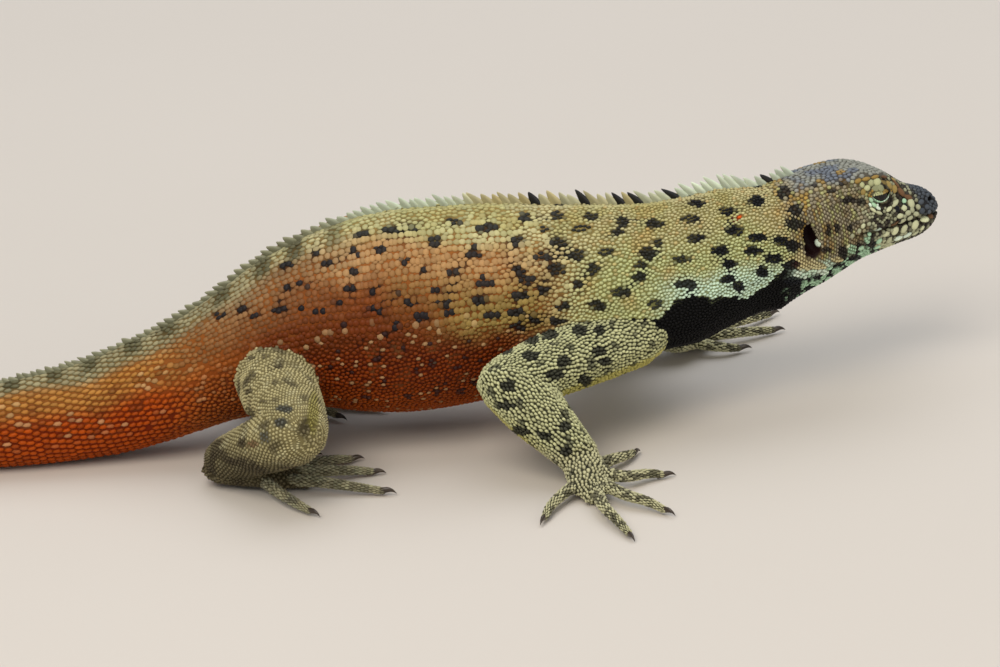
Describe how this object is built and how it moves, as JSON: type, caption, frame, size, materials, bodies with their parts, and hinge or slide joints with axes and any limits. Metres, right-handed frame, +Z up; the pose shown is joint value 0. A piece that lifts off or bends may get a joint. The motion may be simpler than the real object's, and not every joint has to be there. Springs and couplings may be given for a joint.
{
  "type": "galapagos lava lizard",
  "caption": "Life-size still model of a large male Galapagos lava lizard standing alert on a flat floor, body divided into head, neck, torso, tail lengths and jointless limbs.",
  "frame": {"origin": "on the floor, under the middle of the animal's box", "axes": "+X from the tail towards the head, +Y to the animal's left, +Z up"},
  "size_m": [0.3156, 0.1033, 0.0441],
  "materials": {
    "flank_skin": "dry scaled skin, rust red to orange",
    "fore_skin": "dry scaled skin, pale yellow-green with dark spots",
    "limb_skin": "dry keeled scales, pale yellow-green to grey",
    "head_skin": "head shields, khaki and slate with pale lips",
    "crest_horn": "dull horn, pale green with some black",
    "claw": "polished dark horn",
    "eye": "wet, glossy, dark"
  },
  "bodies": {
    "root": {"head": "head_skin", "lower_jaw": "head_skin", "neck": "fore_skin", "torso": "flank_skin", "tail_1": "flank_skin", "tail_2": "flank_skin", "tail_3": "flank_skin", "tail_4": "flank_skin", "tail_5": "flank_skin", "eye_R": "eye", "upper_arm_R": "limb_skin", "forearm_R": "limb_skin", "hand_R": "limb_skin", "thigh_R": "limb_skin", "shank_R": "limb_skin", "foot_R": "limb_skin", "finger_1_R": "limb_skin", "finger_2_R": "limb_skin", "finger_3_R": "limb_skin", "finger_4_R": "limb_skin", "finger_5_R": "limb_skin", "toe_1_R": "limb_skin", "toe_2_R": "limb_skin", "toe_3_R": "limb_skin", "toe_4_R": "limb_skin", "toe_5_R": "limb_skin", "eye_L": "eye", "upper_arm_L": "limb_skin", "forearm_L": "limb_skin", "hand_L": "limb_skin", "thigh_L": "limb_skin", "shank_L": "limb_skin", "foot_L": "limb_skin", "finger_1_L": "limb_skin", "finger_2_L": "limb_skin", "finger_3_L": "limb_skin", "finger_4_L": "limb_skin", "finger_5_L": "limb_skin", "toe_1_L": "limb_skin", "toe_2_L": "limb_skin", "toe_3_L": "limb_skin", "toe_4_L": "limb_skin", "toe_5_L": "limb_skin"}
  },
  "joints": []
}
